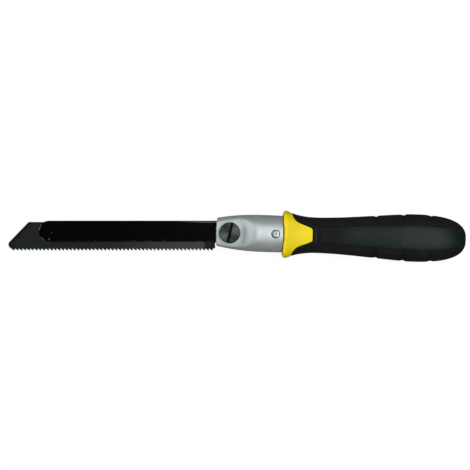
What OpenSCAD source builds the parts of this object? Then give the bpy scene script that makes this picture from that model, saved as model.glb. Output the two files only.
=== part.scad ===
// Jab saw with a clamped, exchangeable blade, a folded blade support, a die-cast head and a moulded handle.
// The saw lies on its side: +X runs from the blade's tip to the handle's butt, +Y to the blade's back,
// and +Z up to the clamp screw's side. The origin is on the rest plane, under the middle of the saw's box.
// Pieces are drawn in the clamp's own frame: x = 0 at the head's mouth, y = 0 and z = 0 on the clamp screw's
// axis and the blade's middle plane. The head and the handle droop a little from the blade's line.

/* [Blade] */
// Length of the blade in front of the head's mouth
blade_reach = 138.8; // [110:0.1:180]
// Height of the blade from its back to the tips of its teeth
blade_h = 19; // [17:0.1:24]
// Thickness of the blade
blade_t = 1; // [0.8:0.05:1.3]
// Height of the blade's back above the clamp screw's axis
blade_back_y = 7.2; // [6.6:0.1:7.6]
// Distance from one tooth to the next
tooth_pitch = 2.54; // [1.8:0.01:4.3]
// Depth of the teeth
tooth_depth = 1.4; // [0.8:0.1:2]
// Share of the pitch taken by a tooth's steep flank
tooth_steep_share = 0.16; // [0.05:0.01:0.3]
// Angle between the blade's back and its slanted end
tip_slant = 46; // [35:1:60]
// Radius of the blade's point
tip_r = 2.7; // [1.5:0.1:4]
// Height of the point's round above the roots of the teeth
tip_rise = 0.4; // [0.2:0.1:2]
// Gap between the blade's heel and the head's mouth
heel_gap = 1; // [0.6:0.1:3]
// Height of the tang
tang_h = 12.7; // [11:0.1:12.9]
// Distance from the blade's back down to the tang
tang_drop = 1.1; // [0.6:0.1:1.5]
// Length of the tang behind the mouth
tang_len = 21; // [17:0.5:23]
// Diameter of the tang's hole
tang_hole_d = 4.3; // [3:0.1:5]

/* [Blade support] */
// Length of the support in front of the head's mouth
support_reach = 118.5; // [80:0.1:125]
// Height of the support
support_h = 13.9; // [12:0.1:14.3]
// Thickness of the sheet that the support is folded from
support_sheet = 0.8; // [0.6:0.05:0.9]
// Travel of the support towards the blade's tip
support_forward = 6; // [2:0.5:8]
// Travel of the support back into the handle
support_back = 22; // [10:0.5:24]

/* [Clamp] */
// Distance from the mouth back to the clamp screw
clamp_x = 8.9; // [8.2:0.1:10]
// Thread diameter of the clamp screw
clamp_thread_d = 8; // [6:0.5:9]
// Pitch of the clamp screw's thread
clamp_pitch = 1.25; // [0.8:0.05:1.3]
// Turns from tight to loose
clamp_turns = 1; // [0.5:0.1:1]
// Diameter of the clamp screw's head
clamp_head_d = 14; // [11:0.1:15]
// Thickness of the clamp screw's head
clamp_head_t = 2.6; // [2:0.1:3.5]
// Gap under the clamp screw's head when it is tight
clamp_head_gap = 0.4; // [0.2:0.1:1]
// Bevel round the clamp screw's head
clamp_head_bevel = 0.5; // [0.2:0.1:0.8]
// Width of the coin slot
coin_slot_w = 1.7; // [1.2:0.1:2.5]
// Depth of the coin slot
coin_slot_depth = 1.3; // [0.8:0.1:1.6]
// Lean of the coin slot from square across the blade
coin_slot_lean = 13.5; // [0:0.5:90]
// Diameter of the clamp pad
pad_d = 10; // [9.6:0.1:10.6]
// Thickness of the clamp pad
pad_t = 1.6; // [1.4:0.1:1.8]
// Diameter of the screw's tip, which turns in the pad
pad_pivot_d = 4; // [3:0.1:5]
// Depth of the pad's hole for the screw's tip
pad_pivot_depth = 0.9; // [0.6:0.1:1]

/* [Head] */
// Length of the head along the handle's axis
head_len = 43.8; // [43:0.1:50]
// Radius of the head at its mouth
head_front_r = 9.35; // [9.2:0.05:10]
// Radius of the head's belly
head_belly_r = 12.25; // [12.1:0.05:13]
// Distance from the mouth back to the head's belly
head_belly_u = 32; // [26:0.5:38]
// Radius of the head where it meets the collar
head_rear_r = 12.1; // [11.9:0.05:12.6]
// Bulge of the head's front face
head_front_bow = 0.4; // [0.2:0.1:1]
// Round on the head's front edge
head_front_round = 1.2; // [0.6:0.1:1.6]
// Height of the head's two flat cheeks from the blade's middle plane
cheek_z = 7.8; // [7.2:0.1:8.4]
// Distance from the mouth back to the middle of a flat cheek's round end
cheek_len = 12.3; // [11:0.1:14]
// Half the width of a flat cheek, and the radius of its round end
cheek_half = 7.4; // [7:0.1:8]
// Slope of the wall round a flat cheek's end
cheek_slope = 35; // [25:1:45]
// Depth of the rear socket that takes the handle's spigot
socket_depth = 19; // [15:0.5:19.5]
// Radius of the handle's spigot
spigot_r = 10; // [9.8:0.05:10.2]
// Distance from the head's rear face forward to the fixing screw
fixing_inset = 4.7; // [4:0.1:7]
// Diameter of the fixing screw's head
fixing_head_d = 5.7; // [5:0.1:6.5]
// Thickness of the fixing screw's head
fixing_head_t = 1.6; // [1.2:0.1:1.7]
// Depth of the fixing screw's head under the head's surface
fixing_sink = 0.3; // [0.2:0.1:0.4]
// Thread diameter of the fixing screw
fixing_d = 2.9; // [2.5:0.1:3.5]
// Length of the fixing screw under its head
fixing_len = 6.5; // [5:0.1:7]
// Width of the fixing screw's cross recess
fixing_cross_w = 0.9; // [0.6:0.1:1.1]
// Length of the fixing screw's cross recess
fixing_cross_len = 3.5; // [2.5:0.1:4]
// Depth of the fixing screw's cross recess
fixing_cross_depth = 0.8; // [0.5:0.1:0.9]

/* [Handle] */
// Droop of the head and handle from the blade's line
droop = 1.63; // [0:0.01:2]
// Distance from the collar's front back to its lip
lip_back = 2.25; // [1.8:0.05:3]
// Radius of the collar's lip
lip_r = 15.9; // [15:0.1:17]
// Radius of the collar where it meets the head
collar_front_r = 12.9; // [12.6:0.1:13.6]
// Distance from the collar's front back to the neck
neck_back = 24.2; // [22.5:0.1:28]
// Radius of the neck
neck_r = 11.85; // [11.4:0.05:12.6]
// Distance from the collar's front back to the swell
swell_back = 85.2; // [78:0.1:92]
// Radius of the swell
swell_r = 15.9; // [15:0.1:17]
// Length of the handle from the collar's front to the butt
handle_len = 122.25; // [116:0.05:136]
// Half the thickness of the handle, which is the height of the blade's middle plane above the rest plane
rest_z = 12.6; // [12.1:0.05:13.2]
// Crown that the flat rest face takes off a side of the swell
crown_cut = 0.28; // [0.15:0.01:0.5]
// Thickness of the soft grip over the core
grip_wall = 3; // [2:0.1:3.4]
// Distance from the collar's front back to the first grip notch
notch_back = 62.7; // [56:0.1:66]
// Distance from one grip notch to the next
notch_step = 18.2; // [15:0.1:20]
// Width of a grip notch
notch_w = 3.8; // [2.5:0.1:5]
// Depth of a grip notch
notch_depth = 0.6; // [0.3:0.05:1]

/* [Collar shield] */
// Distance from the collar's front back to the edge of its colour at the top of the handle
shield_root_back = 5.5; // [4.6:0.1:7]
// Distance from the collar's front back to the tip of the shield
shield_tip_back = 20.7; // [16:0.1:21.2]
// Half the height of the shield at its tip
shield_tip_half = 4.2; // [3:0.1:5]
// Round on the shield's tip
shield_tip_round = 1.3; // [0.8:0.1:1.8]
// Share of the shield's taper that is straight
shield_straight_share = 0.46; // [0.3:0.01:0.6]

/* [Side panels] */
// Distance from the collar's front back to a side panel's front end
panel_back = 24.8; // [23:0.1:28]
// Distance from a side panel's rear end to the butt
panel_butt_gap = 5.5; // [4:0.1:9]
// Grip left between a side panel and the edge of the handle's flat side
panel_border = 0.8; // [0.5:0.1:1.6]
// Thickness of a side panel
panel_t = 1.4; // [1:0.1:1.8]
// Height of a side panel above the grip around it
panel_proud = 0.3; // [0.2:0.05:0.6]
// Round on a side panel's front corners
panel_round = 2; // [1:0.1:3]

/* [Clearances] */
// Gap between the blade and each cheek of the support
blade_side_gap = 0.15; // [0.1:0.01:0.2]
// Gap between the blade's back and the support's fold
blade_back_gap = 0.1; // [0.05:0.01:0.2]
// Gap round the support in the head and the handle
support_gap = 0.1; // [0.05:0.01:0.15]
// Radial gap of the turning and sliding clamp pieces
running_gap = 0.05; // [0.02:0.01:0.1]
// Gap between the clamp pad and the support when the screw is tight
pad_gap = 0.05; // [0.02:0.01:0.1]
// Gap round a screw that passes through the head
screw_gap = 0.25; // [0.1:0.05:0.4]
// Gap round the handle's spigot in the head's socket
spigot_gap = 0.05; // [0.02:0.01:0.1]
// Gap round a side panel in the grip
panel_gap = 0.1; // [0.05:0.01:0.2]

/* [Hidden] */
$fn = 72;

// Powers that shape the head's belly, the collar's flare, the butt and the shield's root
head_power = 2.3;
flare_power = 2.5;
butt_power = 2.6;
shield_power = 8;
// Slopes of the handle's swell at its two ends, as shares of its mean slope
swell_slopes = [0.2, 0.8];
// Number of grip notches
notch_count = 3;
// Angle round the blade's point at which its arc turns into the teeth
point_end_angle = 235;
// Overshoot of a cut past the face that it opens
over = 1;
// Length of the support behind the clamp pad at the end of its forward travel
tail_grip = 1;
// Space left behind the support at the end of its backward travel
tail_space = 1;

// Blade and support, seen from the side
blade_low_y = blade_back_y - blade_h;
tooth_root_y = blade_low_y + tooth_depth;
heel_x = -heel_gap;
tang_top_y = blade_back_y - tang_drop;
tang_low_y = tang_top_y - tang_h;
support_top_y = blade_back_y + blade_back_gap + support_sheet;
support_low_y = support_top_y - support_h;
channel_half = blade_t / 2 + blade_side_gap;
support_half = channel_half + support_sheet;
support_tail_x = clamp_x + pad_d / 2 + support_forward + tail_grip;

// Slot through the head and tunnel into the handle
slot_half = support_half + support_gap;
slot_top_y = support_top_y + support_gap;
slot_low_y = min(support_low_y, tang_low_y) - support_gap;
tunnel_end_x = support_tail_x + support_back + tail_space;

// Clamp, along the screw's axis
pad_low_z = support_half + pad_gap;
pad_top_z = pad_low_z + pad_t;
clamp_travel = clamp_pitch * clamp_turns;
pad_pocket_top_z = pad_top_z + clamp_travel + support_gap;
clamp_head_z = cheek_z + clamp_head_gap;

// Head and handle, along the drooping axis
socket_u = head_len - socket_depth;
fixing_u = head_len - fixing_inset;
collar_u = head_len + spigot_gap;
lip_u = collar_u + lip_back;
neck_u = collar_u + neck_back;
swell_u = collar_u + swell_back;
butt_u = collar_u + handle_len;
notch_first_u = collar_u + notch_back;
shield_root_u = collar_u + shield_root_back;
shield_tip_u = collar_u + shield_tip_back;
panel_front_u = collar_u + panel_back;
panel_rear_u = butt_u - panel_butt_gap;
side_share = (rest_z + crown_cut) / swell_r;
flat_side_share = sqrt(1 - side_share * side_share);
fixing_seat_z = head_r(fixing_u) - fixing_sink - fixing_head_t;

// Place of the clamp's frame in the part's frame
butt_x = clamp_x + (butt_u - clamp_x) * cos(droop);
lip_top_y = lip_r * cos(droop) - (lip_u - clamp_x) * sin(droop);
swell_low_y = -swell_r * cos(droop) - (swell_u - clamp_x) * sin(droop);
box_mid = [(butt_x - blade_reach) / 2, (lip_top_y + swell_low_y) / 2, -rest_z];

// Radius of the head at a distance from its mouth
function head_r(u) = u < head_belly_u
    ? head_belly_r - (head_belly_r - head_front_r) * pow((head_belly_u - u) / head_belly_u, head_power)
    : head_belly_r - (head_belly_r - head_rear_r) * pow((u - head_belly_u) / (head_len - head_belly_u), 2);

// Rise from 0 to 1 with a given slope at each end
function rise(t, from, to) = 3 * t * t - 2 * t * t * t
    + from * (t * t * t - 2 * t * t + t) + to * (t * t * t - t * t);

// Radius of the handle between the collar's lip and the swell
function waist_r(u) = u < neck_u
    ? neck_r + (lip_r - neck_r) * pow((neck_u - u) / (neck_u - lip_u), flare_power)
    : neck_r + (swell_r - neck_r) * rise((u - neck_u) / (swell_u - neck_u), swell_slopes[0], swell_slopes[1]);

// Radius of the handle between the swell and the butt
function butt_r(u) = let (t = (u - swell_u) / (butt_u - swell_u))
    swell_r * pow(max(0, 1 - pow(t, butt_power)), 1 / butt_power);

function handle_r(u) = u < swell_u ? waist_r(u) : butt_r(u);

// Half the thickness of the handle across its flattened sides
function side_z(u) = min(rest_z, side_share * handle_r(u));

// Half the height of the shield at a distance from the mouth
function shield_half(u) = let (s = (shield_tip_u - u) / (shield_tip_u - shield_root_u))
    shield_tip_half + (lip_r - shield_tip_half)
    * (shield_straight_share * s + (1 - shield_straight_share) * pow(s, shield_power));

// Half the height of a side panel at a distance from the mouth
function panel_half(u) = flat_side_share * handle_r(u) - panel_border;

// Even steps from one value to another
function steps(from, to, count) = [for (i = [0:count]) from + (to - from) * i / count];

// Stations along the handle, closer together where it curves most
function waist_stations() = concat(
    steps(lip_u, neck_u, 10),
    [for (u = steps(neck_u, swell_u, 12)) if (u > neck_u) u]);
function butt_stations(inset) = [for (a = [6:6:84])
    swell_u + (butt_u - inset - swell_u) * pow(sin(a), 2 / butt_power)];

// Half outline of the collar's rounded front edge, as [radius, distance] pairs, drawn in by an inset
function collar_half(inset) = [for (a = [0:15:75]) [
    collar_front_r + (lip_r - collar_front_r) * sin(a) - inset,
    collar_u + lip_back * (1 - cos(a))]];

// Half outline of the handle behind the lip, as [radius, distance] pairs, drawn in by an inset
function barrel_half(inset) = concat(
    [for (u = waist_stations()) [waist_r(u) - inset, u]],
    [for (a = [6:6:84]) [
        (swell_r - inset) * pow(cos(a), 2 / butt_power),
        swell_u + (butt_u - inset - swell_u) * pow(sin(a), 2 / butt_power)]],
    [[0, butt_u - inset]]);

// Turns a half outline of [radius, distance] pairs about the axis along X
module turned(points) {
    rotate([0, 90, 0])
        rotate_extrude($fn = 96)
            polygon(points);
}

// Extrudes an outline of [x, z] across the whole handle
module across() {
    rotate([90, 0, 0])
        linear_extrude(4 * swell_r, center = true)
            children();
}

// Extrudes an outline of [x, y] through the whole handle
module through() {
    linear_extrude(4 * swell_r, center = true)
        children();
}

// Moves children from the clamp's frame to the part's frame
module placed() {
    translate(-box_mid)
        children();
}

// Tilts children about the clamp screw's axis, onto the drooping axis
module drooped() {
    translate([clamp_x, 0, 0])
        rotate([0, 0, -droop])
            translate([-clamp_x, 0, 0])
                children();
}

// Outline of the blade: slanted end, round point, teeth raked towards the handle, and the heel
module blade_outline() {
    slant = [cos(tip_slant), sin(tip_slant)];
    tip_x = -blade_reach + tip_r;
    tip_y = tooth_root_y + tip_rise - tip_r * sin(point_end_angle);
    slant_start = [tip_x - tip_r * slant[1], tip_y + tip_r * slant[0]];
    back_x = slant_start[0] + (blade_back_y - slant_start[1]) / tan(tip_slant);
    first_x = tip_x + tip_r * cos(point_end_angle) + tip_rise / tan(270 - point_end_angle);
    teeth = floor((heel_x - first_x) / tooth_pitch);
    polygon(concat(
        [[heel_x, blade_back_y], [back_x, blade_back_y]],
        [for (a = steps(90 + tip_slant, point_end_angle, 10))
            [tip_x + tip_r * cos(a), tip_y + tip_r * sin(a)]],
        [for (i = [0:teeth - 1]) each [
            [first_x + i * tooth_pitch, tooth_root_y],
            [first_x + (i + 1 - tooth_steep_share) * tooth_pitch, blade_low_y]]],
        [[first_x + teeth * tooth_pitch, tooth_root_y], [heel_x, tooth_root_y]]));
}

module blade() {
    color([0.16, 0.18, 0.19])
        linear_extrude(blade_t, center = true)
            difference() {
                union() {
                    blade_outline();
                    translate([heel_x - over, tang_low_y])
                        square([tang_len + heel_gap + over, tang_h]);
                }
                translate([tang_len - tang_h / 2, (tang_low_y + tang_top_y) / 2])
                    circle(d = tang_hole_d);
            }
}

// Outline of the support: a bar with a half-round nose
module support_outline() {
    nose_x = support_h / 2 - support_reach;
    translate([nose_x, support_low_y])
        square([support_tail_x - nose_x, support_h]);
    translate([nose_x, (support_top_y + support_low_y) / 2])
        circle(d = support_h);
}

module blade_support() {
    color([0.03, 0.03, 0.035])
        difference() {
            linear_extrude(2 * support_half, center = true)
                support_outline();
            translate([-support_reach - over, support_low_y - over, -channel_half])
                cube([
                    support_reach + support_tail_x + 2 * over,
                    support_h - support_sheet + over,
                    2 * channel_half]);
        }
}

// Half outline of the head, from its bulged front face round the front edge to its rear face
function head_half() = concat(
    [for (r = steps(0, head_r(head_front_round) - head_front_round, 4))
        [r, -head_front_bow * (1 - pow(r / head_front_r, 2))]],
    [for (a = [30:30:90]) [
        head_r(head_front_round) - head_front_round * (1 - sin(a)),
        head_front_round * (1 - cos(a))]],
    [for (u = steps(head_front_round, head_len, 20)) if (u > head_front_round) [head_r(u), u]],
    [[0, head_len]]);

// Cut of one flat cheek, open at the mouth, with a sloping wall round its other end
module cheek_cut() {
    top_z = cheek_z + head_belly_r;
    top_half = cheek_half + head_belly_r / tan(cheek_slope);
    translate([cheek_len, 0, 0]) {
        rotate_extrude($fn = 144)
            polygon([[0, cheek_z], [cheek_half, cheek_z], [top_half, top_z], [0, top_z]]);
        rotate([90, 0, -90])
            linear_extrude(cheek_len + head_front_bow + over)
                polygon([
                    [-cheek_half, cheek_z],
                    [cheek_half, cheek_z],
                    [top_half, top_z],
                    [-top_half, top_z]]);
    }
}

// Slot for the blade and its support, along the blade's line
module slot_cut(end_x) {
    start_x = -head_front_bow - over;
    translate([start_x, slot_low_y, -slot_half])
        cube([end_x - start_x, slot_top_y - slot_low_y, 2 * slot_half]);
}

module head_casting() {
    color([0.78, 0.8, 0.81])
        difference() {
            drooped()
                difference() {
                    turned(head_half());
                    cheek_cut();
                    mirror([0, 0, 1])
                        cheek_cut();
                    translate([socket_u, 0, 0])
                        rotate([0, 90, 0])
                            cylinder(r = spigot_r + spigot_gap, h = socket_depth + over);
                    translate([fixing_u, 0, 0])
                        cylinder(d = fixing_d + 2 * screw_gap, h = head_belly_r + over);
                    translate([fixing_u, 0, fixing_seat_z])
                        cylinder(d = fixing_head_d + 2 * screw_gap, h = head_belly_r);
                }
            slot_cut(socket_u + over);
            translate([clamp_x, 0, 0])
                cylinder(d = clamp_thread_d + 2 * running_gap, h = cheek_z + over);
            translate([clamp_x, 0, 0])
                cylinder(d = pad_d + 2 * running_gap, h = pad_pocket_top_z);
        }
}

module clamp_screw() {
    color([0.2, 0.23, 0.23])
        translate([clamp_x, 0, 0])
            difference() {
                rotate_extrude()
                    polygon([
                        [0, pad_top_z - pad_pivot_depth + running_gap],
                        [pad_pivot_d / 2, pad_top_z - pad_pivot_depth + running_gap],
                        [pad_pivot_d / 2, pad_top_z + running_gap],
                        [clamp_thread_d / 2, pad_top_z + running_gap],
                        [clamp_thread_d / 2, clamp_head_z],
                        [clamp_head_d / 2, clamp_head_z],
                        [clamp_head_d / 2, clamp_head_z + clamp_head_t - clamp_head_bevel],
                        [clamp_head_d / 2 - clamp_head_bevel, clamp_head_z + clamp_head_t],
                        [0, clamp_head_z + clamp_head_t]]);
                translate([0, 0, clamp_head_z + clamp_head_t - coin_slot_depth / 2 + over / 2])
                    rotate([0, 0, -coin_slot_lean])
                        cube([coin_slot_w, clamp_head_d + 2 * over, coin_slot_depth + over], center = true);
            }
}

module clamp_pad() {
    color([0.55, 0.56, 0.57])
        translate([clamp_x, 0, pad_low_z])
            difference() {
                cylinder(d = pad_d, h = pad_t);
                translate([0, 0, pad_t - pad_pivot_depth])
                    cylinder(d = pad_pivot_d + 2 * running_gap, h = pad_pivot_depth + over);
            }
}

module fixing_screw() {
    color([0.82, 0.83, 0.82])
        drooped()
            translate([fixing_u, 0, fixing_seat_z])
                difference() {
                    union() {
                        cylinder(d = fixing_head_d, h = fixing_head_t);
                        translate([0, 0, -fixing_len])
                            cylinder(d = fixing_d, h = fixing_len + fixing_head_t / 2);
                    }
                    for (turn = [0, 90])
                        translate([0, 0, fixing_head_t - fixing_cross_depth / 2 + over / 2])
                            rotate([0, 0, turn + 45])
                                cube(
                                    [fixing_cross_w, fixing_cross_len, fixing_cross_depth + over],
                                    center = true);
                }
}

// Body of the handle behind the head, with flattened sides, drawn in by insets on the round and on the sides
module handle_body(inset, side_inset) {
    stations = concat(waist_stations(), butt_stations(inset));
    edge = concat(
        [[collar_u, rest_z - side_inset]],
        [for (u = stations) [u, side_z(u) - side_inset]],
        [[butt_u - inset, 0]]);
    intersection() {
        turned(concat([[0, collar_u]], collar_half(inset), barrel_half(inset)));
        across()
            polygon(concat(edge, [for (i = [len(edge) - 2:-1:0]) [edge[i][0], -edge[i][1]]]));
    }
}

// Outline of the collar's colour: the whole collar and the shield that tapers from it over the handle's side
module shield_outline() {
    curve = [for (u = steps(shield_root_u, shield_tip_u - shield_tip_round, 14)) [u, shield_half(u)]];
    tip = [for (a = [60:-30:0]) [
        shield_tip_u - shield_tip_round * (1 - cos(a)),
        shield_tip_half - shield_tip_round * (1 - sin(a))]];
    upper = concat([[collar_u - over, lip_r + over], [shield_root_u, lip_r + over]], curve, tip);
    polygon(concat(upper, [for (i = [len(upper) - 1:-1:0]) [upper[i][0], -upper[i][1]]]));
}

// The core that the grip is moulded over
module core_shaft() {
    handle_body(grip_wall, panel_proud + panel_t + panel_proud + panel_gap);
}

module handle_core() {
    color([0.93, 0.82, 0.12])
        difference() {
            drooped()
                difference() {
                    union() {
                        core_shaft();
                        intersection() {
                            handle_body(0, 0);
                            through()
                                shield_outline();
                        }
                        translate([socket_u + spigot_gap, 0, 0])
                            rotate([0, 90, 0])
                                cylinder(r = spigot_r, h = collar_u - socket_u);
                    }
                    translate([fixing_u, 0, fixing_seat_z - fixing_len])
                        cylinder(d = fixing_d, h = fixing_len + head_belly_r);
                }
            slot_cut(tunnel_end_x);
        }
}

// Outline of a side panel, widened by a gap
module panel_outline(gap) {
    front = panel_front_u - gap;
    corner = [for (a = [0:30:60]) [
        front + panel_round * (1 - cos(a)),
        panel_half(front) - panel_round * (1 - sin(a)) + gap]];
    long = [for (u = steps(front + panel_round, panel_rear_u, 30)) [u, panel_half(u) + gap]];
    rear_half = panel_half(panel_rear_u) + gap;
    rear_bulge = panel_butt_gap / 2 + gap;
    rear = [for (a = [75:-15:0]) [panel_rear_u + rear_bulge * cos(a), rear_half * sin(a)]];
    upper = concat(corner, long, rear);
    polygon(concat(upper, [for (i = [len(upper) - 2:-1:0]) [upper[i][0], -upper[i][1]]]));
}

// A side panel, or the pocket for it when it is widened by a gap and raised past the surface
module panel_body(gap, raise) {
    stations = concat(
        steps(panel_front_u - over, swell_u, 24),
        [for (u = butt_stations(0)) if (u < butt_u - over) u]);
    top = [for (u = stations) [u, side_z(u) + raise]];
    bottom = [for (i = [len(stations) - 1:-1:0]) [stations[i], side_z(stations[i]) - panel_t - gap]];
    intersection() {
        through()
            panel_outline(gap);
        across()
            polygon(concat(top, bottom));
    }
}

module grip_notches() {
    notch_r = (notch_w * notch_w / 4 + notch_depth * notch_depth) / (2 * notch_depth);
    for (i = [0:notch_count - 1]) {
        u = notch_first_u + i * notch_step;
        translate([u, 0, 0])
            rotate([0, 90, 0])
                rotate_extrude($fn = 96)
                    translate([handle_r(u) - notch_depth + notch_r, 0])
                        circle(r = notch_r);
    }
}

module grip() {
    color([0.09, 0.09, 0.095])
        drooped()
            difference() {
                handle_body(0, panel_proud);
                through()
                    shield_outline();
                core_shaft();
                grip_notches();
                panel_body(panel_gap, over);
                mirror([0, 0, 1])
                    panel_body(panel_gap, over);
            }
}

module side_panel_front() {
    color([0.15, 0.18, 0.19])
        drooped()
            panel_body(0, 0);
}

module side_panel_back() {
    color([0.15, 0.18, 0.19])
        drooped()
            mirror([0, 0, 1])
                panel_body(0, 0);
}

placed() blade();
placed() blade_support();
placed() head_casting();
placed() clamp_screw();
placed() clamp_pad();
placed() fixing_screw();
placed() handle_core();
placed() grip();
placed() side_panel_front();
placed() side_panel_back();
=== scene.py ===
import math

import bpy
import bmesh
import numpy as np
from mathutils import Matrix, Vector
from mathutils.geometry import tessellate_polygon


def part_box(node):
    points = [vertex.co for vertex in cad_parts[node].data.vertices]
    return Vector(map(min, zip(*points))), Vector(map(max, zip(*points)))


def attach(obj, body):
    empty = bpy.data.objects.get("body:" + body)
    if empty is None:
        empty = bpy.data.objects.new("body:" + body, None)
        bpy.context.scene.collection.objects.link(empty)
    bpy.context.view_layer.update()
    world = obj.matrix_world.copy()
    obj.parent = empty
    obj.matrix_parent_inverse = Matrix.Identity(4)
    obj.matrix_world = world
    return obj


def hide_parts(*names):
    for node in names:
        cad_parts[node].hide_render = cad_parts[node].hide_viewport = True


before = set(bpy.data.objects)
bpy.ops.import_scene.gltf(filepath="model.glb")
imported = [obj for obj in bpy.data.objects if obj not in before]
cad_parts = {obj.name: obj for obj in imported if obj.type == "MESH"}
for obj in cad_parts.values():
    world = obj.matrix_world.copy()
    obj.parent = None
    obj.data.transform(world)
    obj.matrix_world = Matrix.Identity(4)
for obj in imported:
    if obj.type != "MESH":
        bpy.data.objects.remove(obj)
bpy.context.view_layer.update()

bpy.context.scene.view_settings.view_transform = "Standard"

# Handle core: the yellow collar, the shield that tapers from it and the shaft under the grip are one piece of
# glass-filled nylon, moulded first. Its spigot is screwed into the head, and a tunnel in it takes the support's tail.
mm = 0.001
clamp_low, clamp_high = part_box("clamp_screw")
blade_low, blade_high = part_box("blade")
clamp_back = 8.9
droop = math.radians(1.63)
clamp_point = Vector((
    (clamp_low.x + clamp_high.x) / 2,
    (clamp_low.y + clamp_high.y) / 2,
    (blade_low.z + blade_high.z) / 2))
blade_line = Matrix.Translation(clamp_point - Vector((clamp_back * mm, 0, 0)))
handle_line = (
    Matrix.Translation(clamp_point)
    @ Matrix.Rotation(-droop, 4, "Z")
    @ Matrix.Translation((-clamp_back * mm, 0, 0)))
rest_z = clamp_point.z / mm

head_len = 43.8
collar_u, collar_front_r = head_len + 0.05, 12.9
collar_start, collar_bow, collar_bow_power = head_len - 0.2, 0.85, 0.8
lip_u, lip_r = collar_u + 2.25, 15.86
neck_u, neck_r = collar_u + 24.2, 11.85
swell_u, swell_r = collar_u + 85.2, 15.86
flare_power, neck_slope, swell_slope = 2.5, 0.2, 0.8
butt_u, butt_power = collar_u + 122.22, 2.7
side_spare = 0.28
side_share = (rest_z + side_spare) / swell_r
grip_wall, grip_side_wall, mould_gap = 3, 2.1, 0.05
shaft_end, shaft_round = butt_u - grip_wall, 0.4
shield_root, shield_tip, shield_half, shield_round = collar_u + 5.5, collar_u + 19.9, 4.4, 1.3
shield_taper, shield_flare_power = 0.46, 8
seam_run, seam_roll = 0.6, ((0.35, 0.05), (0.18, 0.14), (0.06, 0.3), (0, 0.6))
socket_u, spigot_r, spigot_play, spigot_chamfer = head_len - 19, 10, 0.05, 0.5
support_top, support_low, support_half = 8.1, -5.8, 1.45
slot_play = 0.1
slot_top, slot_low, slot_half = support_top + slot_play, -6.7, support_half + slot_play
tunnel_end, tunnel_mouth = 43.9, socket_u + 0.2
seam_shade_w, crevice_near, crevice_far, crevice_r = 1.1, 0.3, 0.9, 13.5
nylon_yellow, nylon_shade, nylon_seam_shade = (240, 214, 10), (245, 222, 20), (86, 74, 8)


def srgb(red, green, blue):
    """A colour as it looks on a screen, turned into the light that a material works with."""
    levels = [level / 255 for level in (red, green, blue)]
    light = [level / 12.92 if level < 11 / 255 else ((level + 0.055) / 1.055) ** 2.4 for level in levels]
    return (*light, 1)


def handle_r(u):
    """Radius of the handle behind the collar's lip: a flare, a neck, a swell and a round butt."""
    u = np.asarray(u, float)
    flare = np.clip((neck_u - u) / (neck_u - lip_u), 0, None) ** flare_power
    t = np.clip((u - neck_u) / (swell_u - neck_u), 0, 1)
    rise = 3 * t**2 - 2 * t**3 + neck_slope * (t**3 - 2 * t**2 + t) + swell_slope * (t**3 - t**2)
    end = np.clip((u - swell_u) / (butt_u - swell_u), 0, 1)
    waist = neck_r + (lip_r - neck_r) * flare + (swell_r - neck_r) * rise
    return np.where(u < swell_u, waist, swell_r * (1 - end**butt_power) ** (1 / butt_power))


def smooth(value, low, high):
    """0 below low, 1 above high, and an even bend between them."""
    t = np.clip((value - low) / (high - low), 0, 1)
    return t * t * (3 - 2 * t)


def side_flat(u):
    """Half the thickness of the handle across its flattened sides."""
    return np.minimum(rest_z, side_share * handle_r(u))


def flattened(radius, flat, angle, crisp=14):
    """Radius at an angle round a bar with two flat sides, soft where the round meets a flat."""
    return (np.asarray(radius, float) ** -crisp + (np.abs(np.cos(angle)) / flat) ** crisp) ** (-1 / crisp)


def oval(radius, flat, angle, crisp=5):
    """Radius at an angle round the handle's oval section, as thick as its sides and as high as its radius."""
    round_part = np.asarray(radius, float) ** -crisp
    side_part = np.maximum(np.asarray(flat, float) ** -crisp - round_part, 0)
    return (round_part + side_part * np.abs(np.cos(angle)) ** crisp) ** (-1 / crisp)


def circle_of(count):
    """Evenly spaced angles round a full turn."""
    return np.arange(count) * 2 * np.pi / count


def ring(u, radius, angle):
    """Points round the handle's axis; angle 0 is the side that the clamp screw is on."""
    u = np.broadcast_to(u, angle.shape)
    return np.column_stack((u, radius * np.sin(angle), radius * np.cos(angle)))


def slot_ring(x, angle, grow=0.0):
    """Points round the slot that the support slides in, which follows the blade's line and not the handle's."""
    half, width, middle = (slot_top - slot_low) / 2 + grow, slot_half + grow, (slot_top + slot_low) / 2
    up, side = np.sin(angle), np.cos(angle)
    reach = np.minimum(half / np.maximum(np.abs(up), 1e-9), width / np.maximum(np.abs(side), 1e-9))
    y, z = reach * up, reach * side
    corner = math.atan2(half, width)
    for turn in (corner, np.pi - corner, np.pi + corner, 2 * np.pi - corner):
        nearest = np.argmin(np.abs(angle - turn))
        y[nearest], z[nearest] = half * np.sign(np.sin(turn)), width * np.sign(np.cos(turn))
    y, x = y + middle, x - clamp_back
    u = clamp_back + x * math.cos(droop) - y * math.sin(droop)
    return np.column_stack((u, x * math.sin(droop) + y * math.cos(droop), z))


def collar_face(angle):
    """Distance along the handle at which the collar starts: least at its edges, most in the middle of its sides."""
    return collar_start + collar_bow * np.abs(np.cos(angle)) ** collar_bow_power


def shield_edge(angle):
    """Distance along the handle at which the yellow shield ends, at an angle round it."""
    u = np.linspace(shield_root, shield_tip, 500)
    s = (shield_tip - u) / (shield_tip - shield_root)
    spread = shield_taper * s + (1 - shield_taper) * s**shield_flare_power
    edge = shield_half + (lip_r - shield_half) * spread
    tip = np.clip(u - shield_tip + shield_round, 0, None)
    edge = edge - shield_round + np.sqrt(shield_round**2 - tip**2)
    height = oval(handle_r(u), side_flat(u), angle[:, None]) * np.abs(np.sin(angle))[:, None]
    inside = np.cumprod(edge > height, axis=1).sum(axis=1)
    return u[np.clip(inside, 0, len(u) - 1)]


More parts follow.
